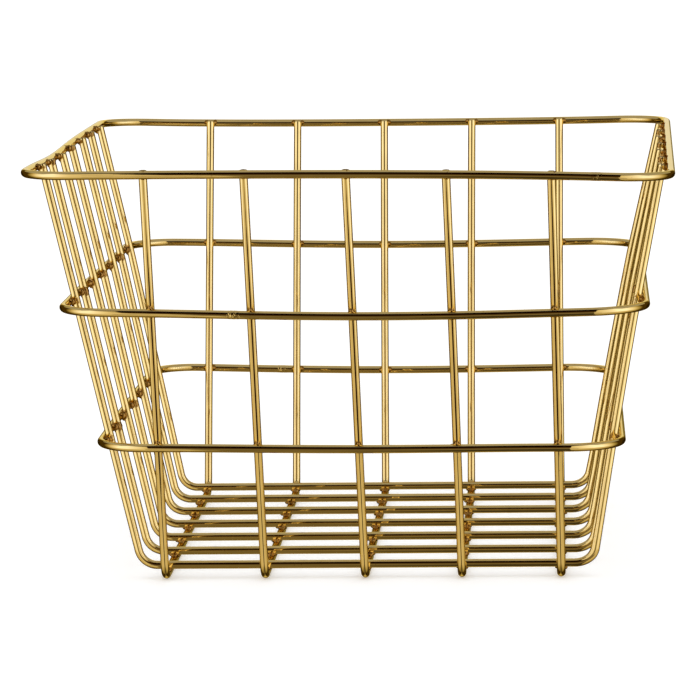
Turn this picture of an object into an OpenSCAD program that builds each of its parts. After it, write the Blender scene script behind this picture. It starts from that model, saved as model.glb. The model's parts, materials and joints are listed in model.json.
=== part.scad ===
// Wire locker basket: an open tub of welded round wire that narrows towards its floor.
// U-shaped cross wires lie over U-shaped long wires, and three rings go round their legs.
// Millimetres, +Z up. Width is along X, depth along Y, and the front faces -Y.
// The origin is the centre of the footprint, on the surface that the basket stands on.

/* [Basket] */
// Width over the rim, side to side
rim_w = 305; // [240:1:380]
// Depth over the rim, front to back
rim_d = 330; // [260:1:420]
// Height from the table to the top of the rim
basket_h = 200; // [170:1:260]
// Outward lean of all four walls, in degrees from upright
wall_lean = 11.6; // [6:0.2:16]

/* [Wire] */
// Diameter of the wire
wire_d = 4; // [3:0.1:5]
// Bend radius where floor turns into wall, at the axis of the wire
base_bend_r = 9; // [7:0.5:13]
// Radius of the rings' corners, at the axis of the wire
ring_corner_r = 20; // [12:1:24]

/* [Rings] */
// Height of the lower ring's axis
lower_ring_h = 66; // [50:1:85]
// Height of the middle ring's axis
middle_ring_h = 132; // [105:1:150]

/* [Floor] */
// Number of cross wires, side to side, which lie on the long wires
cross_count = 7; // [5:1:9]
// Number of long wires, front to back, which the basket stands on
long_count = 5; // [4:1:7]
// Straight length that a long wire keeps between its bend and the outermost cross wire
cross_setback = 2; // [0.5:0.5:12]
// Straight length that a cross wire keeps between its bend and the outermost long wire
long_setback = 5; // [0.5:0.5:12]

/* [Welds] */
// Clearance between two crossing wires, which their weld bead fills
weld_seam = 0.15; // [0.05:0.05:0.4]
// How far a weld bead spreads past the side of the wire
weld_spread = 1; // [0.4:0.1:1.6]
// Thickness of a weld bead, across the seam that it fills
bead_t = 1.6; // [1:0.1:2.4]
// How far the weld beads of the rim stay below its top
rim_bead_drop = 0.4; // [0.2:0.1:1]
// How far the butt weld of a ring stands proud of its wire
butt_rise = 0.2; // [0.1:0.05:0.5]
// Length of a ring's butt weld along the wire
butt_l = 6; // [3:0.5:8]
// Distance from the rim's front right corner bend to its butt weld
rim_butt_setback = 10; // [6:1:16]
// Distance from a long wire's leg to the butt weld of the middle or lower ring
leg_to_butt = 11; // [8:1:16]

/* [Hidden] */
CROSS_NODES = [for (i = [1:cross_count]) str("cross_wire_", i)];
LONG_NODES = [for (i = [1:long_count]) str("long_wire_", i)];
RING_NODES = ["rim_ring", "middle_ring", "lower_ring"];
WELD_NODES = ["rim_welds", "middle_ring_welds", "lower_ring_welds", "floor_welds", "ring_joints"];
$fn = 48;

gold = "#c9a24a";
weld_brown = "#6b4a1f";

// Axis distance of two wires that cross and are welded together
wire_step = wire_d + weld_seam;

// Heights of the axes of the floor runs and the rim, and of the square-cut ends of the legs,
// whose inner edges are level with the top of the rim
long_floor_h = wire_d / 2;
cross_floor_h = long_floor_h + wire_step;
rim_h = basket_h - wire_d / 2;
leg_end_h = rim_h + wire_d / 2 * (1 - sin(wall_lean));

// Half width and half depth of a ring at height h, at its axis
function ring_half(rim_size, h) = (rim_size - wire_d) / 2 - tan(wall_lean) * (rim_h - h);
function ring_half_x(h) = ring_half(rim_w, h);
function ring_half_y(h) = ring_half(rim_d, h);

// Distance from the centre to the point where the lines of a floor run and its leg meet
ring_to_leg = wire_step / cos(wall_lean);
cross_corner = ring_half_x(cross_floor_h) - ring_to_leg;
long_corner = ring_half_y(long_floor_h) - ring_to_leg;

// A U wire's bend starts bend_run before that point and ends bend_run after it
bend_run = base_bend_r * tan((90 - wall_lean) / 2);

// Places of the cross wires along Y and of the long wires along X
cross_reach = long_corner - bend_run - cross_setback;
long_reach = cross_corner - bend_run - long_setback;
cross_y = [for (i = [0:cross_count - 1]) cross_reach * (2 * i / (cross_count - 1) - 1)];
long_x = [for (i = [0:long_count - 1]) long_reach * (2 * i / (long_count - 1) - 1)];

bead_r = wire_d / 2 + weld_spread;
// Room past a bead for the shapes that trim it
trim = 2 * bead_r;

// Half of a U wire in the XZ plane: half a floor run at height floor_h, a bend and a leaning leg.
// The bend is a quarter turn, trimmed where the leg leaves it.
module half_u_wire(corner, floor_h) {
    run_half = corner - bend_run;
    leg_l = (leg_end_h - floor_h) / cos(wall_lean) - bend_run;
    translate([run_half, 0, floor_h + base_bend_r]) {
        translate([0, 0, -base_bend_r])
            rotate([0, -90, 0])
                cylinder(d = wire_d, h = run_half);
        difference() {
            rotate([90, 0, 0])
                rotate([0, 0, -90])
                    rotate_extrude(angle = 90)
                        translate([base_bend_r, 0])
                            circle(d = wire_d);
            rotate([0, wall_lean, 0])
                translate([0, -wire_d, 0])
                    cube([2 * base_bend_r, 2 * wire_d, 2 * base_bend_r]);
        }
        rotate([0, wall_lean, 0])
            translate([base_bend_r, 0, 0])
                cylinder(d = wire_d, h = leg_l);
    }
}

module u_wire(corner, floor_h) {
    for (side = [0, 1])
        mirror([side, 0, 0])
            half_u_wire(corner, floor_h);
}

// Cross wire i, counted from the front
module cross_wire(i) {
    color(gold)
        translate([0, cross_y[i - 1], 0])
            u_wire(cross_corner, cross_floor_h);
}

// Long wire i, counted from the left
module long_wire(i) {
    color(gold)
        translate([long_x[i - 1], 0, 0])
            rotate([0, 0, 90])
                u_wire(long_corner, long_floor_h);
}

// Quarter of a ring: its corner, and the half runs that lead from it to the middle of two sides
module quarter_ring(h) {
    run_x = ring_half_x(h) - ring_corner_r;
    run_y = ring_half_y(h) - ring_corner_r;
    translate([run_x, run_y, h]) {
        rotate_extrude(angle = 90)
            translate([ring_corner_r, 0])
                circle(d = wire_d);
        translate([0, ring_corner_r, 0])
            rotate([0, -90, 0])
                cylinder(d = wire_d, h = run_x);
        translate([ring_corner_r, 0, 0])
            rotate([90, 0, 0])
                cylinder(d = wire_d, h = run_y);
    }
}

// Closed ring with its axis at height h, sized to lie against the outside of the leaning legs
module ring(h) {
    color(gold)
        for (side = [0, 1], end = [0, 1])
            mirror([side, 0, 0])
                mirror([0, end, 0])
                    quarter_ring(h);
}

// Weld bead around the contact of an upright wire on its -X side and a level one on its +X side:
// a round cake of metal in the corners between the wires, hollowed to fit both
module weld_bead() {
    difference() {
        rotate([0, 90, 0])
            cylinder(r = bead_r, h = bead_t, center = true);
        translate([-wire_step / 2, 0, -trim])
            cylinder(d = wire_d, h = 2 * trim);
        translate([wire_step / 2, trim, 0])
            rotate([90, 0, 0])
                cylinder(d = wire_d, h = 2 * trim);
    }
}

// Bead between a ring on the wall that faces +X, at height h, and the leg inside it
module wall_bead(half_size, place, h) {
    translate([half_size, place, h])
        rotate([0, wall_lean, 0])
            translate([-wire_step / 2, 0, 0])
                weld_bead();
}

// All beads of the ring at height h, with nothing near the top of the rim
module ring_beads(h) {
    color(weld_brown)
        difference() {
            for (turn = [0, 180]) {
                for (y = cross_y)
                    rotate([0, 0, turn])
                        wall_bead(ring_half_x(h), y, h);
                for (x = long_x)
                    rotate([0, 0, turn + 90])
                        wall_bead(ring_half_y(h), x, h);
            }
            translate([-rim_w, -rim_d, basket_h - rim_bead_drop])
                cube([2 * rim_w, 2 * rim_d, trim]);
        }
}

// Beads where cross wires lie on long wires
module floor_welds() {
    color(weld_brown)
        for (x = long_x, y = cross_y)
            translate([x, y, long_floor_h + wire_step / 2])
                rotate([0, -90, 90])
                    weld_bead();
}

// Slightly proud sleeve of metal, with tapered ends, where the two ends of a ring were butt welded
module butt_sleeve(x, y, h) {
    inner = wire_d / 2;
    outer = inner + butt_rise;
    taper = 2 * butt_rise;
    translate([x - butt_l / 2, y, h])
        rotate([0, 90, 0])
            rotate_extrude()
                polygon([[inner, 0], [outer, taper], [outer, butt_l - taper], [inner, butt_l]]);
}

// The rim is joined near its front right corner, the middle ring beside its second front leg,
// and the lower ring at the back
module ring_joints() {
    rim_x = ring_half_x(rim_h) - ring_corner_r - rim_butt_setback;
    color(weld_brown) {
        butt_sleeve(rim_x, -ring_half_y(rim_h), rim_h);
        butt_sleeve(long_x[1] - leg_to_butt, -ring_half_y(middle_ring_h), middle_ring_h);
        butt_sleeve(long_x[1] - leg_to_butt, ring_half_y(lower_ring_h), lower_ring_h);
    }
}

ring(rim_h);  // rim_ring
ring(middle_ring_h);  // middle_ring
ring(lower_ring_h);  // lower_ring
for (i = [1:cross_count])
    cross_wire(i);
for (i = [1:long_count])
    long_wire(i);
ring_beads(rim_h);  // rim_welds
ring_beads(middle_ring_h);  // middle_ring_welds
ring_beads(lower_ring_h);  // lower_ring_welds
floor_welds();
ring_joints();
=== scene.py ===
"""Looks of the wire locker basket: polished gold wire on a plain white ground, in metres.

Round, slightly uneven wires, lumpy welds and rough joints replace the plain CAD solids.
"""

import json
import math

import bpy
import numpy as np
from mathutils import Matrix, Vector

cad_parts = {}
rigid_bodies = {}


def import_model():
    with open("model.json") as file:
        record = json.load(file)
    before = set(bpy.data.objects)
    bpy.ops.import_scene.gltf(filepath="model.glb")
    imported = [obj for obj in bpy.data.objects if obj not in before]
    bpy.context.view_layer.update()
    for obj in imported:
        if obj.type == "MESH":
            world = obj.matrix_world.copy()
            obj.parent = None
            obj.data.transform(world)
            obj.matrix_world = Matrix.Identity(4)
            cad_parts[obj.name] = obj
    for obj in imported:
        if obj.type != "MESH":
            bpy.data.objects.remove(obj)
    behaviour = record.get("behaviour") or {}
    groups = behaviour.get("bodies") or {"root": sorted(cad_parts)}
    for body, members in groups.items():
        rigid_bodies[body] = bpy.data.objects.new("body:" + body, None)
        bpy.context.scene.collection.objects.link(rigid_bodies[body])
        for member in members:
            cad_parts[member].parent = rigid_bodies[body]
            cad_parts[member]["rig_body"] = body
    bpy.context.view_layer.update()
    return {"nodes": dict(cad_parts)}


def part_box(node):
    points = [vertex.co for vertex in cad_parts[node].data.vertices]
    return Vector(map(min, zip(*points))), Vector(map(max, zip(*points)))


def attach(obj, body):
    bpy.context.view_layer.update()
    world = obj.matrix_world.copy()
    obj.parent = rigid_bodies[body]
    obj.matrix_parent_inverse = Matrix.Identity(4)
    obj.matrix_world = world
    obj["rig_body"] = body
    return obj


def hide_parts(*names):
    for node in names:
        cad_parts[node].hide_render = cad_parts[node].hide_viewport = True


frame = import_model()
nodes = frame["nodes"]

MM = 0.001

# Camera, fitted to the photograph's rings, legs and floor wires
CAMERA_PLACE = Vector((0.0867, -1.9448, 0.3609))
CAMERA_YAW = 0.0508
CAMERA_PITCH = 0.1354
CAMERA_ROLL = -0.0155
SENSOR_WIDTH = 36.0
PHOTO_SIDE_PX = 696
FOCAL_PX = 3900.0

# Wire sizes that a node's box doesn't give
BEND_RADIUS = 9 * MM
SEAM = 0.15 * MM

# The photographed basket isn't quite true. For each metre of height its wires shift sideways by
# RACK metres and turn by TWIST radians.
RACK = -0.0087
TWIST = -0.089

# How far its wires stand aside, in mm. A long wire: at the foot and the rim of its front leg, and
# at the foot and the rim of its back leg. A cross wire: its left leg and its right leg.
LONG_WIRES_ASIDE = [
    (-0.75, 1.4, 0.0, 0.35), (-0.45, 0.8, 0.3, 0.4), (0.2, 0.65, 1.0, 0.1), (-0.85, -0.5, -0.3, 0.2),
    (-1.0, 0.5, 0.2, -0.1),
]
CROSS_WIRES_ASIDE = [
    (-0.15, 0.1), (-0.6, 0.6), (0.1, -0.3), (-0.3, 0.4), (0.1, -0.5), (-0.3, 0.4), (0.1, -0.1),
]

# Its rings are this far above their level places, in mm at five equal steps from the left end to
# the right end of their front runs and of their back runs
RING_LIFTS = {
    "rim_ring": ((0.7, 0.95, 0.55, -0.6, -3.2), (0.7, -1.2, -1.65, -1.6, -0.5)),
    "middle_ring": ((1.5, 0.5, -0.9, -0.6, 0.5), (1.8, 0.6, -0.65, -0.35, 0.2)),
    "lower_ring": ((1.2, 1.1, 0.4, 0.45, -0.1), (1.6, -0.1, -1.1, -0.9, -0.2)),
}

# The rim's left run sags by RIM_SAG around RIM_SAG_PLACE, for about RIM_SAG_REACH to each side
RIM_SAG = 1.95 * MM
RIM_SAG_PLACE = -44 * MM
RIM_SAG_REACH = 57 * MM

# The front and back walls bulge by WALL_BULGE, and the top of the left one by LEFT_BULGE. The right wall's foot and the back ends of the rim
# stand further out, and so does all that is beyond the outermost long wires there.
WALL_BULGE = 2.2 * MM
LEFT_BULGE = 0.9 * MM
FOOT_SPREAD = 2.5 * MM
RIM_FLARE = 1.7 * MM

# Its rings' corners, and how far the cut ends of its legs are above the CAD ones
LEFT_CORNER = 24 * MM
RIGHT_CORNER = 27 * MM
LEG_PROUD = -0.2 * MM

# Butt welds of the rings: the rim's from its right end, the others' from the second long wire
RIM_END_TO_BUTT = 35 * MM
LEG_TO_BUTT = 7.5 * MM

# Mesh fineness
SIDES = 24
LONG_STEP = 6 * MM
SHORT_STEP = 1 * MM
BEND_STEPS = 16

RINGS = ["rim_ring", "middle_ring", "lower_ring"]
CROSS_WIRES = [f"cross_wire_{i}" for i in range(1, 8)]
LONG_WIRES = [f"long_wire_{i}" for i in range(1, 6)]


def box(name):
    """A node's lowest and highest corners, as arrays."""
    low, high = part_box(name)
    return np.array(low), np.array(high)


def ring_size(name):
    """Half width, half depth and height of a ring, at its axis."""
    low, high = box(name)
    radius = (high[2] - low[2]) / 2
    return high[0] - radius, high[1] - radius, (low[2] + high[2]) / 2


WIRE_RADIUS = (box("rim_ring")[1][2] - box("rim_ring")[0][2]) / 2
RIM_X, RIM_Y, RIM_Z = ring_size("rim_ring")
MIDDLE_Z = ring_size("middle_ring")[2]
LOWER_X, LOWER_Y, LOWER_Z = ring_size("lower_ring")
LEAN = math.atan((RIM_X - LOWER_X) / (RIM_Z - LOWER_Z))
AXIS_STEP = 2 * WIRE_RADIUS + SEAM


def u_wire_sizes(name, across):
    """Where the lines of a U wire's floor run and leg meet, and the heights of its floor run and of
    the ends of its legs, at the axis. The wire spans the given axis, 0 for X and 1 for Y."""
    low, high = box(name)
    top_h = high[2] - WIRE_RADIUS * math.sin(LEAN)
    floor_h = low[2] + WIRE_RADIUS
    corner = high[across] - WIRE_RADIUS * math.cos(LEAN) - math.tan(LEAN) * (top_h - floor_h)
    return corner, floor_h, top_h


def middles(names, axis):
    return [float(sum(corner[axis] for corner in box(name)) / 2) for name in names]


CROSS_CORNER, CROSS_FLOOR, CROSS_TOP = u_wire_sizes(CROSS_WIRES[0], 0)
LONG_CORNER, LONG_FLOOR, LONG_TOP = u_wire_sizes(LONG_WIRES[0], 1)
CROSS_Y = middles(CROSS_WIRES, 1)
LONG_X = middles(LONG_WIRES, 0)


def long_wire_x(index, y, z):
    """Where a long wire runs along X, at y and at height z."""
    front_foot, front_rim, back_foot, back_rim = LONG_WIRES_ASIDE[index]
    up = z / RIM_Z
    back = (y / RIM_Y + 1) / 2
    front_aside = front_foot + (front_rim - front_foot) * up
    back_aside = back_foot + (back_rim - back_foot) * up
    return LONG_X[index] + (front_aside + (back_aside - front_aside) * back) * MM


def ring_lift(name, x, y):
    """How far a ring stands above its level place at x, y."""
    half_x, half_y, height = ring_size(name)
    front, back = [
        np.polyval(np.polyfit(np.linspace(-1, 1, len(lifts)), lifts, len(lifts) - 1), x / half_x) * MM
        for lifts in RING_LIFTS[name]
    ]
    lift = front + (back - front) * (y / half_y + 1) / 2
    if name == "rim_ring" and x < 0:
        lift += RIM_SAG * x / half_x * math.exp(-((y - RIM_SAG_PLACE) / RIM_SAG_REACH) ** 2)
    return float(lift)


def warp(points):
    """Moves points to where the photographed basket has them, but for the lifts of its rings."""
    x, y, z = np.asarray(points, float).T
    y = y * (1 + WALL_BULGE / RIM_Y * (1 - (x / RIM_X) ** 2) * np.clip(z / LOWER_Z, 0, 1))
    beyond = np.sign(x) * np.clip((abs(x) / LONG_X[-1] - 1) / 0.15, 0, 1)
    foot = FOOT_SPREAD * np.clip(beyond, 0, 1) * np.clip(1 - z / MIDDLE_Z, 0, 1) ** 1.6
    left = np.clip(-x / LONG_X[-1], 0, 1) * np.clip(z / RIM_Z, 0, 1)
    bulge = LEFT_BULGE * left * np.exp(-((y - RIM_SAG_PLACE) / RIM_SAG_REACH) ** 2)
    flare = RIM_FLARE * beyond * (y / RIM_Y + 1) / 2 * np.clip((z - MIDDLE_Z) / (RIM_Z - MIDDLE_Z), 0, 1)
    x = x + foot + flare - bulge
    return np.column_stack([x + (RACK - TWIST * y) * z, y + TWIST * x * z, z])


def make_camera():
    """The photograph's view: the image axes follow from yaw, pitch and roll."""
    forward = Vector((
        -math.sin(CAMERA_YAW) * math.cos(CAMERA_PITCH),
        math.cos(CAMERA_YAW) * math.cos(CAMERA_PITCH),
        -math.sin(CAMERA_PITCH),
    ))
    level = Vector((math.cos(CAMERA_YAW), math.sin(CAMERA_YAW), 0.0))
    upright = level.cross(forward)
    right = math.cos(CAMERA_ROLL) * level + math.sin(CAMERA_ROLL) * upright
    up = -math.sin(CAMERA_ROLL) * level + math.cos(CAMERA_ROLL) * upright
    data = bpy.data.cameras.new("camera")
    data.sensor_width = SENSOR_WIDTH
    data.lens = FOCAL_PX / PHOTO_SIDE_PX * SENSOR_WIDTH
    data.clip_end = 100.0
    camera = bpy.data.objects.new("camera", data)
    turn = Matrix((right, up, -forward)).transposed().to_4x4()
    camera.matrix_world = Matrix.Translation(CAMERA_PLACE) @ turn
    bpy.context.collection.objects.link(camera)
    bpy.context.scene.camera = camera


class Tree:
    """Short forms for a node tree: its methods add nodes and return a socket or a node."""

    def __init__(self, owner):
        owner.use_nodes = True
        self.tree = owner.node_tree
        self.tree.nodes.clear()

    def connect(self, socket, value):
        if isinstance(value, bpy.types.NodeSocket):
            self.tree.links.new(value, socket)
        else:
            socket.default_value = value

    def node(self, kind, inputs=(), **settings):
        node = self.tree.nodes.new(kind)
        for key, value in settings.items():
            setattr(node, key, value)
        for key, value in dict(inputs).items():
            self.connect(node.inputs[key], value)
        return node

    def math(self, operation, first, second=0.0):
        return self.node("ShaderNodeMath", {0: first, 1: second}, operation=operation).outputs[0]

    def spread(self, value, low, high, to_low=0.0, to_high=1.0):
        """Maps low..high onto to_low..to_high, smoothly and with no overshoot."""
        inputs = {"Value": value, "From Min": low, "From Max": high, "To Min": to_low, "To Max": to_high}
        return self.node("ShaderNodeMapRange", inputs, interpolation_type="SMOOTHSTEP").outputs[0]

    def ramp(self, value, stops):
        """A colour ramp through (place, colour) stops."""
        node = self.node("ShaderNodeValToRGB", {"Fac": value})
        ramp = node.color_ramp
        while len(ramp.elements) < len(stops):
            ramp.elements.new(1.0)
        for element, (place, colour) in zip(ramp.elements, stops):
            element.position = place
            element.color = (*colour, 1.0)
        return node.outputs["Color"]

    def mix(self, share, first, second):
        node = self.node("ShaderNodeMix", data_type="RGBA")
        for index, value in ((0, share), (6, first), (7, second)):
            self.connect(node.inputs[index], value)
        return node.outputs[2]

    def noise(self, place, scale, detail=2.0):
        inputs = {"Vector": place, "Scale": scale, "Detail": detail}
        return self.node("ShaderNodeTexNoise", inputs).outputs["Fac"]

    def bump(self, height, distance, strength, under=None):
        inputs = {"Height": height, "Distance": distance, "Strength": strength}
        if under is not None:
            inputs["Normal"] = under
        return self.node("ShaderNodeBump", inputs).outputs[0]

    def finish(self, shader, kind="ShaderNodeOutputMaterial"):
        self.node(kind, {"Surface": shader})


def new_material(name):
    material = bpy.data.materials.new(name)
    return material, Tree(material)


def metal(name, base, burnt_and_shade_colour, edge_tint, rough, lumps):
    """Plated metal. Its colour and roughness drift over millimetres, heat tint and painted crevice
    shade darken it near the welds, specks spoil it, and waves, drawing marks and lumps bend its reflections."""
    material, tree = new_material(name)
    place = tree.node("ShaderNodeTexCoord").outputs["Object"]
    grain = tree.node("ShaderNodeAttribute", attribute_name="grain").outputs["Vector"]
    heat = tree.node("ShaderNodeAttribute", attribute_name="heat").outputs["Fac"]
    drift = tree.spread(tree.noise(place, 90.0, 3.0), 0.35, 0.65)
    speck = tree.spread(tree.noise(place, 900.0, 1.0), 0.72, 0.78)
    patches = tree.spread(tree.noise(place, 500.0, 3.0), 0.35, 0.60, 0.35, 1.0)
    # Painted crevice shade and heat tint: the heat values, highest in the weld crevices, mix in the burnt colour.
    # Specks mix in some of it too.
    stain_and_shade = tree.math("MAXIMUM", tree.math("MULTIPLY", heat, patches), tree.math("MULTIPLY", speck, 0.4))
    deeper = tuple(0.92 * part for part in base)
    colour = tree.mix(stain_and_shade, tree.mix(drift, (*base, 1.0), (*deeper, 1.0)), (*burnt_and_shade_colour, 1.0))
    smudge = tree.spread(tree.noise(place, 55.0, 4.0), 0.40, 0.70, rough, 2.4 * rough)
    roughness = tree.math("ADD", smudge, tree.math("MULTIPLY", stain_and_shade, 0.12))
    normal = tree.bump(tree.noise(place, 60.0, 1.0), 0.1 * MM, 0.5)
    normal = tree.bump(tree.noise(grain, 1800.0, 2.0), 0.01 * MM, 0.05, normal)
    lump = tree.math("MULTIPLY", tree.noise(place, 700.0, 3.0), tree.math("ADD", heat, lumps))
    normal = tree.bump(lump, 0.25 * MM, 0.6, normal)
    shader = tree.node("ShaderNodeBsdfPrincipled", {
        "Base Color": colour,
        "Metallic": 1.0,
        "Roughness": roughness,
        "Specular Tint": (*edge_tint, 1.0),
        "Normal": normal,
    })
    tree.finish(shader.outputs[0])
    return material


def gold_wire():
    return metal("gold_wire", (0.88, 0.655, 0.27), (0.30, 0.14, 0.03), (0.84, 0.76, 0.42), 0.02, 0.0)


# Its burnt colour, near black, is painted crevice shade and heat tint in the weld's hollows.
def weld_metal():
    return metal("weld", (0.40, 0.215, 0.055), (0.022, 0.008, 0.001), (0.35, 0.22, 0.10), 0.10, 0.5)


def joint_metal():
    return metal("ring_joint", (0.84, 0.62, 0.25), (0.25, 0.12, 0.03), (0.84, 0.74, 0.42), 0.03, 1.0)


def cut_face():
    return metal("cut_face", (0.27, 0.17, 0.055), (0.07, 0.035, 0.01), (0.70, 0.60, 0.45), 0.20, 1.2)


def mesh_object(name, vertices, faces, heat, grain, materials, face_materials=None):
    """An object with smooth faces, and heat tint and crevice shade values and grain values at its vertices."""
    mesh = bpy.data.meshes.new(name)
    mesh.from_pydata(warp(vertices).tolist(), [], faces)
    mesh.update()
    mesh.attributes.new("heat", "FLOAT", "POINT").data.foreach_set("value", np.asarray(heat, np.float32))
    grain_values = np.asarray(grain, np.float32).ravel()
    mesh.attributes.new("grain", "FLOAT_VECTOR", "POINT").data.foreach_set("vector", grain_values)
    mesh.polygons.foreach_set("use_smooth", [True] * len(mesh.polygons))
    for material in materials:
        mesh.materials.append(material)
    if face_materials is not None:
        mesh.polygons.foreach_set("material_index", face_materials)
    piece = bpy.data.objects.new(name, mesh)
    bpy.context.collection.objects.link(piece)
    return piece


class Crossing:
    """Where two wires cross: in a side wall, an end wall or the floor, the middle of the seam, unit
    vectors along the inner wire, along the outer wire and from the inner one to the outer one, and
    the length of inner wire past the seam."""

    def __init__(self, kind, place, inner, across, inner_end=math.inf):
        self.kind = kind
        self.place = np.array(place)
        self.axes = np.array([inner, np.cross(across, inner), across])
        self.inner_end = inner_end


def wall_crossings(name):
    """The crossings of a ring with the legs of all four walls."""
    half_x, half_y, height = ring_size(name)
    past_rim = (LONG_TOP + LEG_PROUD - RIM_Z - AXIS_STEP * math.sin(LEAN)) / math.cos(LEAN)
    inner_end = past_rim if name == "rim_ring" else math.inf
    found = []
    for side in (1, -1):
        long_places = [long_wire_x(index, side * half_y, height) for index in range(len(LONG_X))]
        walls = (("side", 0, half_x, CROSS_Y), ("end", 1, half_y, long_places))
        for kind, axis, half, places in walls:
            across, inner = np.zeros((2, 3))
            across[axis], across[2] = side * math.cos(LEAN), -math.sin(LEAN)
            inner[axis], inner[2] = side * math.sin(LEAN), math.cos(LEAN)
            for place in places:
                spot = np.zeros(3)
                spot[axis], spot[1 - axis] = side * half, place
                lift = ring_lift(name, spot[0], spot[1])
                spot[axis] += side * math.tan(LEAN) * lift
                spot[2] = height + lift
                seam = spot - AXIS_STEP / 2 * across
                found.append(Crossing(kind, seam, inner, across, inner_end))
    return found


def floor_crossings():
    """The crossings of cross wires and long wires in the floor, where the long wire is the inner one."""
    height = (LONG_FLOOR + CROSS_FLOOR) / 2
    return [
        Crossing("floor", (long_wire_x(index, y, height), y, height), (0, 1, 0), (0, 0, 1))
        for index in range(len(LONG_X)) for y in CROSS_Y
    ]


WELDS = {
    "rim_welds": wall_crossings("rim_ring"),
    "middle_ring_welds": wall_crossings("middle_ring"),
    "lower_ring_welds": wall_crossings("lower_ring"),
    "floor_welds": floor_crossings(),
}
WELD_PLACES = np.array([crossing.place for group in WELDS.values() for crossing in group])
# The wires are painted darker near each weld: heat tint and painted crevice shade, up to WIRE_HEAT_AND_SHADE at
# the weld and gone by about HEAT_AND_SHADE_REACH from it.
HEAT_AND_SHADE_REACH = 2.9 * MM
WIRE_HEAT_AND_SHADE = 0.6
WELD_ZONE = 7 * MM


def weld_gap(places):
    """Distance of each place from the nearest weld."""
    return np.linalg.norm(places[:, None] - WELD_PLACES[None], axis=2).min(1)


def straight(start, end):
    """Points from start to end, without the end itself."""
    count = max(1, round(np.linalg.norm(end - start) / LONG_STEP))
    return [start + (end - start) * i / count for i in range(count)]


def refined(points, closed):
    """The same path with short steps near the welds."""
    following = np.roll(points, -1, 0)
    near = weld_gap((points + following) / 2) < WELD_ZONE
    path = []
    for here, there, is_near in list(zip(points, following, near))[:None if closed else -1]:
        count = max(1, round(np.linalg.norm(there - here) / SHORT_STEP)) if is_near else 1
        path += [here + (there - here) * i / count for i in range(count)]
    return np.array(path if closed else path + [points[-1]])


def half_u_path(corner, floor_h, top_h):
    """Half of a U wire's axis, as (across, up), from its middle to the end of its leg. The lines of
    the floor run and the leg meet at corner."""
    turn = math.pi / 2 - LEAN
    centre = np.array([corner - BEND_RADIUS * math.tan(turn / 2), floor_h + BEND_RADIUS])
    leg_way = np.array([math.sin(LEAN), math.cos(LEAN)])
    angles = turn * np.arange(BEND_STEPS + 1) / BEND_STEPS
    bend = centre + BEND_RADIUS * np.column_stack([np.sin(angles), -np.cos(angles)])
    leg_end = bend[-1] + leg_way * (top_h - bend[-1][1]) / leg_way[1]
    floor_run = straight(np.array([0.0, floor_h]), bend[0])
    return floor_run + list(bend[:-1]) + straight(bend[-1], leg_end) + [leg_end]


def u_path(corner, floor_h, low_side_top, high_side_top):
    """A U wire's axis from one leg's end to the other's."""
    low_half = [np.array([-across, up]) for across, up in half_u_path(corner, floor_h, low_side_top)]
    return np.array(low_half[:0:-1] + half_u_path(corner, floor_h, high_side_top))


def directions(points, closed):
    """Unit direction of a path at each of its points."""
    if closed:
        along = np.roll(points, -1, 0) - np.roll(points, 1, 0)
    else:
        along = np.gradient(points, axis=0)
    return along / np.linalg.norm(along, axis=1, keepdims=True)


def ring_path(name):
    """A ring's axis, once round. Where it is lifted it also widens, because it lies against the
    leaning legs."""
    half_x, half_y, height = ring_size(name)
    arcs = []
    for side_x, side_y, start in ((1, 1, 0), (-1, 1, 90), (-1, -1, 180), (1, -1, 270)):
        radius = RIGHT_CORNER if side_x > 0 else LEFT_CORNER
        centre = np.array([side_x * (half_x - radius), side_y * (half_y - radius)])
        angles = np.radians(start + np.linspace(0, 90, BEND_STEPS + 1))
        arcs.append(centre + radius * np.column_stack([np.cos(angles), np.sin(angles)]))
    plan = []
    for arc, following in zip(arcs, arcs[1:] + arcs[:1]):
        plan += list(arc[:-1]) + straight(arc[-1], following[0])
    plan = np.array(plan)
    lifts = np.array([ring_lift(name, x, y) for x, y in plan])
    along = directions(plan, True)
    outward = np.column_stack([along[:, 1], -along[:, 0]])
    plan += outward * (math.tan(LEAN) * lifts)[:, None]
    return np.column_stack([plan, height + lifts])


# Cut ends of the legs: (share of the radius, height) of each ring of vertices past the last one
CAP_PROFILE = [(0.97, 0.10 * MM), (0.86, 0.20 * MM), (0.55, 0.16 * MM), (0.12, 0.20 * MM)]
CAP_ROUGHNESS = 0.05 * MM
# Drawing marks run along the wire: they change fast round it and this much slower along it
GRAIN_STRETCH = 50


def end_cap(ring, outward, random):
    """Rings of vertices that close a cut end, with a small chamfer and an uneven face."""
    centre = ring.mean(0)
    cap = []
    for share, rise in CAP_PROFILE:
        uneven = random.uniform(-CAP_ROUGHNESS, CAP_ROUGHNESS, (SIDES, 1))
        cap.append(centre + (ring - centre) * share + outward * (rise + uneven))
    return cap


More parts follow.
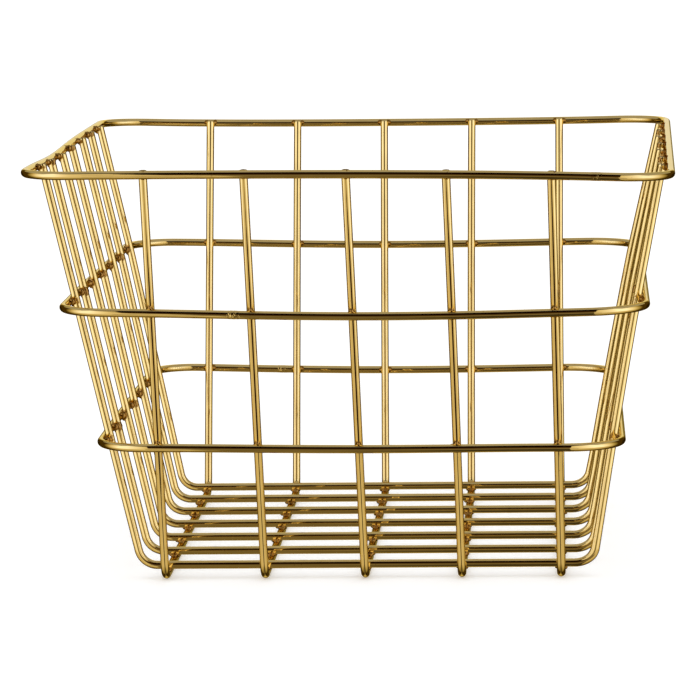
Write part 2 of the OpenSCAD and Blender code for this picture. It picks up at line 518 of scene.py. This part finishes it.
def tube(name, path, plane_normal, closed, materials):
    """Round wire along a path that lies in a plane, or nearly. Open ends get a cut face, in the last
    material."""
    random = np.random.default_rng(sum(map(ord, name)))
    points = refined(path, closed)
    along = directions(points, closed)
    binormal = np.broadcast_to(plane_normal, along.shape)
    normal = np.cross(binormal, along)
    normal /= np.linalg.norm(normal, axis=1, keepdims=True)
    turn = np.linspace(0, 2 * math.pi, SIDES, endpoint=False)
    circle = np.cos(turn)[None, :, None] * normal[:, None] + np.sin(turn)[None, :, None] * binormal[:, None]
    rings = list(points[:, None] + WIRE_RADIUS * circle)
    lengths = np.concatenate([[0], np.cumsum(np.linalg.norm(np.diff(points, axis=0), axis=1))])
    cap_count = 0
    if closed:
        lengths = np.minimum(lengths, lengths[-1] - lengths)
    else:
        cap_count = len(CAP_PROFILE)
        rings = end_cap(rings[0], -along[0], random)[::-1] + rings + end_cap(rings[-1], along[-1], random)
        lengths = np.pad(lengths, cap_count, "edge")
    count = len(rings)
    faces, face_materials = [], []
    for i in range(count if closed else count - 1):
        is_cut = i < cap_count or i >= count - 1 - cap_count > 0 and not closed
        for k in range(SIDES):
            after = (k + 1) % SIDES
            here, there = i * SIDES, (i + 1) % count * SIDES
            faces.append((here + k, here + after, there + after, there + k))
            face_materials.append(len(materials) - 1 if is_cut else 0)
    if not closed:
        faces += [tuple(reversed(range(SIDES))), tuple(range((count - 1) * SIDES, count * SIDES))]
        face_materials += [len(materials) - 1] * 2
    vertices = np.array(rings).reshape(-1, 3)
    # Painted crevice shade and heat tint, strongest next to the welds.
    heat = WIRE_HEAT_AND_SHADE * np.exp(-((weld_gap(vertices) / HEAT_AND_SHADE_REACH) ** 4))
    around = WIRE_RADIUS * np.column_stack([np.cos(turn), np.sin(turn)])
    grain = np.column_stack([np.tile(around, (count, 1)), np.repeat(lengths / GRAIN_STRETCH, SIDES)])
    return mesh_object(name, vertices, faces, heat, grain, materials, face_materials)


def make_wires(gold, cut):
    """The three rings and the twelve U wires, by the names of the nodes that they replace."""
    made = {}
    for name in RINGS:
        made[name] = tube(name + "_round", ring_path(name), (0, 0, 1), True, [gold])
    for name, y, (left_aside, right_aside) in zip(CROSS_WIRES, CROSS_Y, CROSS_WIRES_ASIDE):
        tops = [CROSS_TOP + LEG_PROUD + ring_lift("rim_ring", side * RIM_X, y) for side in (-1, 1)]
        across, up = u_path(CROSS_CORNER, CROSS_FLOOR, *tops).T
        across = across + np.interp(across / LONG_X[-1], (-1.2, -1, 1, 1.2), (left_aside, 0, 0, right_aside)) * MM
        path = np.column_stack([across, np.full(len(up), y), up])
        made[name] = tube(name + "_round", path, (0, -1, 0), False, [gold, cut])
    for index, name in enumerate(LONG_WIRES):
        tops = [LONG_TOP + LEG_PROUD + ring_lift("rim_ring", LONG_X[index], side * RIM_Y) for side in (-1, 1)]
        across, up = u_path(LONG_CORNER, LONG_FLOOR, *tops).T
        path = np.column_stack([long_wire_x(index, across, up), across, up])
        made[name] = tube(name + "_round", path, (1, 0, 0), False, [gold, cut])
    return made


# Butt welds of the rings: a slightly swollen, rough stretch
BUTT_LENGTH = 9 * MM
BUTT_SWELL = 0.10 * MM
BUTT_UNEVEN = 0.14 * MM
BUTT_STEPS = 28


def make_joints(material):
    """The butt welds that close the rings, as one piece."""
    rim_x = RIM_X - RIM_END_TO_BUTT
    beside_leg = LONG_X[1] - LEG_TO_BUTT
    places = [("rim_ring", rim_x, -1), ("middle_ring", beside_leg, -1), ("lower_ring", beside_leg, 1)]
    random = np.random.default_rng(7)
    turn = np.linspace(0, 2 * math.pi, SIDES, endpoint=False)
    vertices, faces = [], []
    for name, middle, side in places:
        half_x, half_y, height = ring_size(name)
        waves = [(random.integers(1, 7), random.uniform(9, 42), random.uniform(0, 6.3)) for _ in range(8)]
        first = len(vertices)
        for step in range(BUTT_STEPS + 1):
            place = 2 * step / BUTT_STEPS - 1
            x = middle + place * BUTT_LENGTH / 2
            lift = ring_lift(name, x, side * half_y)
            uneven = np.zeros(SIDES)
            for count, pitch, phase in waves:
                uneven += math.sin(pitch * place + phase) * np.sin(count * turn + phase) / len(waves)
            swell = BUTT_SWELL * math.cos(math.pi / 2 * place) ** 2 - WELD_SINK
            radius = WIRE_RADIUS + swell + BUTT_UNEVEN * (1 - place ** 2) * uneven
            y = side * (half_y + math.tan(LEAN) * lift) + radius * np.cos(turn)
            vertices += list(np.column_stack([np.full(SIDES, x), y, height + lift + radius * np.sin(turn)]))
        for step in range(BUTT_STEPS):
            for k in range(SIDES):
                after = (k + 1) % SIDES
                here, there = first + step * SIDES, first + (step + 1) * SIDES
                faces.append((here + k, here + after, there + after, there + k))
        faces.append(tuple(first + k for k in reversed(range(SIDES))))
        faces.append(tuple(first + BUTT_STEPS * SIDES + k for k in range(SIDES)))
    vertices = np.array(vertices)
    heat = np.full(len(vertices), 0.15)
    return mesh_object("ring_joints_rough", vertices, faces, heat, vertices, [material])


# Weld metal. A flat core fills the seam, and lumps of flash were squeezed out round it: (degrees
# from the inner wire's axis, distance from the middle, radius), in mm, by the kind of crossing.
WELD_CORE = (2.1 * MM, 2.1 * MM, 0.8 * MM)
FLASH = {
    "side": [(0, 1.9, 0.75), (90, 1.8, 0.8), (180, 1.9, 0.8), (270, 2.3, 1.6)],
    "end": [(0, 1.9, 0.75), (90, 2.0, 1.1), (180, 1.9, 0.8), (270, 2.0, 1.1)],
    "floor": [
        (0, 1.9, 0.85), (35, 2.0, 0.6), (90, 1.9, 0.8), (145, 2.0, 0.6),
        (180, 1.9, 0.85), (215, 2.0, 0.6), (270, 1.9, 0.8), (325, 2.0, 0.6),
    ],
}
FLASH_VARIES = 0.22
SQUEEZED_ASIDE = 1.0 * MM
FLASH_STRAYS = 0.30 * MM
BLEND = 0.35 * MM
WELD_REACH = 3.8 * MM
WELD_SINK = 0.04 * MM
WELD_UNEVEN = 0.10 * MM
WELD_AROUND = 56
WELD_ROWS = 19
WELD_LATITUDE = math.radians(62)
SEARCH_STEPS = 40


def blend(first, second):
    """Smooth minimum of two distances."""
    overlap = np.maximum(BLEND - np.abs(first - second), 0) / BLEND
    return np.minimum(first, second) - overlap ** 2 * BLEND / 4


def wire_distance(points, inner_end):
    """Distance from points, in a crossing's own axes, to the surfaces of the two wires."""
    inner = np.hypot(points[..., 1], points[..., 2] + AXIS_STEP / 2) - WIRE_RADIUS
    inner = np.maximum(inner, points[..., 0] - inner_end)
    outer = np.hypot(points[..., 0], points[..., 2] - AXIS_STEP / 2) - WIRE_RADIUS
    return np.minimum(inner, outer)


def weld_distance(points, inner_end, lumps):
    """Distance from points to the weld metal and the wires, which are a little shrunk."""
    core = (np.linalg.norm(points / np.array(WELD_CORE), axis=-1) - 1) * min(WELD_CORE)
    whole = core
    for middle, radius in lumps:
        whole = blend(whole, np.linalg.norm(points - middle, axis=-1) - radius)
    beside = np.clip(abs(points[..., 1]) - SQUEEZED_ASIDE, 0, None)
    whole = np.maximum(whole, points[..., 0] - inner_end - beside)
    return blend(whole, wire_distance(points, inner_end) + WELD_SINK)


def weld_pattern():
    """Directions from a weld's middle, dense near its seam, and the faces between them."""
    ways = [(0, 0, -1)]
    for latitude in np.linspace(-WELD_LATITUDE, WELD_LATITUDE, WELD_ROWS):
        for angle in np.linspace(0, 2 * math.pi, WELD_AROUND, endpoint=False):
            level = math.cos(latitude)
            ways.append((level * math.cos(angle), level * math.sin(angle), math.sin(latitude)))
    ways.append((0, 0, 1))
    faces = []
    for k in range(WELD_AROUND):
        after = (k + 1) % WELD_AROUND
        faces.append((0, 1 + after, 1 + k))
        for row in range(WELD_ROWS - 1):
            here, there = 1 + row * WELD_AROUND, 1 + (row + 1) * WELD_AROUND
            faces.append((here + k, here + after, there + after, there + k))
        last = 1 + (WELD_ROWS - 1) * WELD_AROUND
        faces.append((last + k, last + after, len(ways) - 1))
    return np.array(ways), faces


def weld_skin(ways, crossing, random):
    """Where the directions leave the weld, in the crossing's own axes, and the heat tint and painted
    crevice shade there, which are full where the skin lies close to the wires and less on the lumps' tops.
    """
    lumps = []
    for degrees, distance, radius in FLASH[crossing.kind]:
        angle = math.radians(degrees)
        middle = distance * MM * np.array([math.cos(angle), math.sin(angle), 0])
        middle += random.uniform(-FLASH_STRAYS, FLASH_STRAYS, 3)
        lumps.append((middle, radius * MM * random.uniform(1 - FLASH_VARIES, 1 + FLASH_VARIES)))
    reached = np.full(len(ways), WELD_REACH)
    inside = np.ones(len(ways), bool)
    step_before, before = 0.0, np.full(len(ways), -WELD_SINK)
    for step in np.linspace(0, WELD_REACH, SEARCH_STEPS)[4:]:
        now = weld_distance(ways * step, crossing.inner_end, lumps)
        leaves = inside & (now > 0)
        share = before[leaves] / (before[leaves] - now[leaves])
        reached[leaves] = step_before + (step - step_before) * share
        inside &= ~leaves
        step_before, before = step, now
    waves = random.normal(size=(7, 3)) * 2.4 / MM
    phases = random.uniform(0, 2 * math.pi, 7)
    uneven = WELD_UNEVEN * np.sin(ways * reached[:, None] @ waves.T + phases).mean(1)
    skin = ways * (reached + uneven)[:, None]
    proud = wire_distance(skin, crossing.inner_end)
    # Painted crevice shade: the skin is darkest where it lies close to the wires, lighter on the lumps' tops.
    heat = 1 - 0.6 * np.clip((proud - 0.45 * MM) / (0.5 * MM), 0, 1)
    return skin, heat * random.uniform(0.8, 1.0)


def make_welds(name, crossings, material):
    """All the welds of one group, as one piece."""
    ways, pattern_faces = weld_pattern()
    random = np.random.default_rng(sum(map(ord, name)))
    vertices, faces, heat = [], [], []
    for crossing in crossings:
        skin, skin_heat_and_shade = weld_skin(ways, crossing, random)
        first = len(vertices)
        vertices += list(skin @ crossing.axes + crossing.place)
        faces += [tuple(first + k for k in face) for face in pattern_faces]
        heat += list(skin_heat_and_shade)
    return mesh_object(name + "_skin", vertices, faces, heat, vertices, [material])


FLOOR_HALF_SIZE = 6.0
FLOOR_GLOW = 0.28


def make_floor():
    """A white floor that keeps a faint shadow."""
    far = FLOOR_HALF_SIZE
    mesh = bpy.data.meshes.new("floor")
    mesh.from_pydata([(-far, -far, 0), (far, -far, 0), (far, far, 0), (-far, far, 0)], [], [(0, 1, 2, 3)])
    floor = bpy.data.objects.new("floor", mesh)
    bpy.context.collection.objects.link(floor)
    material, tree = new_material("floor")
    diffuse = tree.node("ShaderNodeBsdfDiffuse", {"Color": (0.85, 0.85, 0.85, 1.0)})
    rays = tree.node("ShaderNodeLightPath").outputs
    seen = tree.math("MAXIMUM", rays["Is Glossy Ray"], rays["Is Transmission Ray"])
    seen = tree.math("MAXIMUM", rays["Is Camera Ray"], seen)
    glow = tree.node("ShaderNodeEmission", {"Strength": tree.math("MULTIPLY", seen, FLOOR_GLOW)})
    both = tree.node("ShaderNodeAddShader", {0: diffuse.outputs[0], 1: glow.outputs[0]})
    tree.finish(both.outputs[0])
    mesh.materials.append(material)
    floor.visible_glossy = False


# Studio tent: white cloth, with a dark slot for the camera and dark back corners. The cloth's
# levels are by degrees aside from the camera, for its upper and lower part. The slot's colours
# are by degrees of elevation, and so are the distances of its edges from X = 0.
TENT_RADIUS = 2.1
TENT_GAIN = 1.8
HIGH_LEVELS = [
    (0, 0.72), (14, 0.72), (26, 0.90), (42, 1.14), (54, 1.35), (72, 1.35), (88, 0.90), (115, 0.06),
    (156, 0.08), (166, 0.92), (180, 0.96),
]
LOW_LEVELS = [
    (0, 0.80), (25, 0.70), (42, 0.66), (78, 0.66), (100, 0.45), (115, 0.06), (156, 0.08), (166, 0.92),
    (180, 0.96),
]
CLOTH_TOP = 46
SKIRTING_TOP = 7
SKIRTING_LEVEL = 0.3
SLOT_COLOURS = [
    (-90, (0.20, 0.16, 0.075)), (-31, (0.20, 0.16, 0.075)), (-29.5, (0.04, 0.015, 0.0)),
    (-23, (0.04, 0.015, 0.0)), (-21.5, (0.46, 0.38, 0.21)), (-16, (0.25, 0.21, 0.12)),
    (-6, (0.18, 0.145, 0.08)), (0, (0.11, 0.085, 0.045)), (14, (0.05, 0.03, 0.01)),
    (16, (0.03, 0.01, 0.0)), (17.5, (0.10, 0.04, 0.0)), (21.5, (0.10, 0.04, 0.0)),
    (23, (0.004, 0.001, 0.0)), (90, (0.004, 0.001, 0.0)),
]
SLOT_LEFT = [
    (-90, 0.31), (-31, 0.32), (-29.5, 0.52), (-23, 0.52), (-21.5, 0.32), (-16, 0.33), (-5, 0.36),
    (5, 0.42), (16, 0.42), (17.5, 0.50), (21.5, 0.50), (23, 0.43), (90, 0.43),
]
SLOT_RIGHT = [
    (-90, 0.50), (-31, 0.50), (-29.5, 0.95), (-23, 0.95), (-21.5, 0.52), (-4, 0.52), (3, 0.62),
    (90, 0.62),
]
SLOT_SOFT = 0.02
CAMERA_AZIMUTH = math.atan2(CAMERA_PLACE.x, -CAMERA_PLACE.y)
CEILING_LEVEL = 0.43
CEILING_HEIGHT = 0.55
CEILING_FRONT = -0.32
CEILING_BACK = 0.80
CEILING_HALF_WIDTH = 0.80
TINTS = [
    (0.0, (0.002, 0.0008, 0.0001)), (0.1, (0.10, 0.060, 0.008)), (0.2, (0.20, 0.155, 0.050)),
    (0.42, (0.44, 0.37, 0.16)), (0.62, (0.67, 0.57, 0.34)), (0.75, (0.82, 0.74, 0.53)),
    (0.88, (0.96, 0.91, 0.76)), (1.0, (1.07, 1.04, 0.98)), (1.4, (1.40, 1.50, 1.80)),
]


def grey(level):
    return (level, level, level)


def reflection_only(piece):
    """Marks a stage piece that only reflections see."""
    piece.visible_camera = False
    piece.visible_diffuse = False
    piece.visible_shadow = False
    piece.visible_transmission = False


def make_tent():
    """A sphere of cloth round the basket and the camera."""
    bpy.ops.mesh.primitive_uv_sphere_add(segments=96, ring_count=48, radius=TENT_RADIUS)
    tent = bpy.context.object
    tent.name = "studio_tent"
    reflection_only(tent)
    material, tree = new_material("tent_cloth")
    place = tree.node("ShaderNodeTexCoord").outputs["Object"]
    x, y, z = tree.node("ShaderNodeSeparateXYZ", {0: place}).outputs
    azimuth = tree.math("ARCTAN2", x, tree.math("MULTIPLY", y, -1.0))
    aside = tree.math("ABSOLUTE", tree.math("SUBTRACT", azimuth, CAMERA_AZIMUTH))
    aside = tree.math("MULTIPLY", aside, 1 / math.pi)
    elevation = tree.math("ARCSINE", tree.math("MULTIPLY", z, 1 / TENT_RADIUS))
    height = tree.math("ADD", tree.math("MULTIPLY", elevation, 1 / math.pi), 0.5)

    def by_aside(levels):
        return tree.ramp(aside, [(degrees / 180, grey(level / TENT_GAIN)) for degrees, level in levels])

    def by_height(stops):
        return tree.ramp(height, [((degrees + 90) / 180, colour) for degrees, colour in stops])

    low = tree.spread(elevation, math.radians(-22), math.radians(-15), 1.0, 0.0)
    steep_down = tree.spread(elevation, math.radians(-75), math.radians(-35), 0.4, 1.0)
    below_top = tree.spread(elevation, math.radians(CLOTH_TOP - 2), math.radians(CLOTH_TOP + 2), 1.0, 0.0)
    wall = tree.mix(low, by_aside(HIGH_LEVELS), by_aside(LOW_LEVELS))
    wall = tree.math("MULTIPLY", tree.math("MULTIPLY", wall, steep_down), below_top)
    low_right = tree.math("MULTIPLY", tree.spread(x, -0.2, 0.05), tree.spread(elevation, -0.6, -0.4, 1.0, 0.0))
    low_back = tree.math("MULTIPLY", tree.spread(y, 1.3, 1.6), tree.spread(
        elevation, math.radians(SKIRTING_TOP - 2), math.radians(SKIRTING_TOP + 2), 1.0, 0.0))
    wall = tree.math("MULTIPLY", wall, tree.spread(low_back, 0.0, 1.0, 1.0, SKIRTING_LEVEL))
    slot_colour = by_height(SLOT_COLOURS)
    slot_colour = tree.mix(tree.math("MULTIPLY", low_right, 0.7), slot_colour, (0.0, 0.0, 0.0, 1.0))
    left_edge = by_height([(degrees, grey(distance)) for degrees, distance in SLOT_LEFT])
    right_edge = by_height([(degrees, grey(distance)) for degrees, distance in SLOT_RIGHT])
    from_left = tree.spread(tree.math("ADD", x, left_edge), -SLOT_SOFT, SLOT_SOFT)
    from_right = tree.spread(tree.math("SUBTRACT", right_edge, x), -SLOT_SOFT, SLOT_SOFT)
    in_front = tree.spread(y, 0.0, 0.3, 1.0, 0.0)
    slot = tree.math("MULTIPLY", tree.math("MULTIPLY", from_left, from_right), in_front)
    tints = [(level / TENT_GAIN, tuple(part / TENT_GAIN for part in tint)) for level, tint in TINTS]
    cloth = tree.node("ShaderNodeEmission", {"Color": tree.ramp(wall, tints), "Strength": TENT_GAIN})
    opening = tree.node("ShaderNodeEmission", {"Color": slot_colour})
    both = tree.node("ShaderNodeMixShader", {0: slot, 1: cloth.outputs[0], 2: opening.outputs[0]})
    tree.finish(both.outputs[0])
    tent.data.materials.append(material)


def make_ceiling():
    """A softbox above the basket, which ends in front of its rim."""
    wide = CEILING_HALF_WIDTH
    corners = [(-wide, CEILING_FRONT), (wide, CEILING_FRONT), (wide, CEILING_BACK), (-wide, CEILING_BACK)]
    mesh = bpy.data.meshes.new("ceiling")
    mesh.from_pydata([(x, y, CEILING_HEIGHT) for x, y in corners], [], [(3, 2, 1, 0)])
    ceiling = bpy.data.objects.new("ceiling", mesh)
    bpy.context.collection.objects.link(ceiling)
    reflection_only(ceiling)
    material, tree = new_material("softbox")
    glow = tree.node("ShaderNodeEmission", {"Color": (1.0, 0.98, 0.94, 1.0), "Strength": CEILING_LEVEL})
    tree.finish(glow.outputs[0])
    mesh.materials.append(material)


def make_world():
    world = bpy.data.worlds.new("world")
    bpy.context.scene.world = world
    tree = Tree(world)
    background = tree.node("ShaderNodeBackground", {"Color": (1.0, 1.0, 1.0, 1.0), "Strength": 1.0})
    tree.finish(background.outputs[0], "ShaderNodeOutputWorld")


make_camera()
make_world()
make_floor()
make_tent()
make_ceiling()
bpy.context.scene.view_settings.view_transform = "Standard"

pieces = make_wires(gold_wire(), cut_face())
weld = weld_metal()
for name, crossings in WELDS.items():
    pieces[name] = make_welds(name, crossings, weld)
pieces["ring_joints"] = make_joints(joint_metal())
for name, piece in pieces.items():
    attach(piece, nodes[name]["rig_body"])
    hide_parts(name)
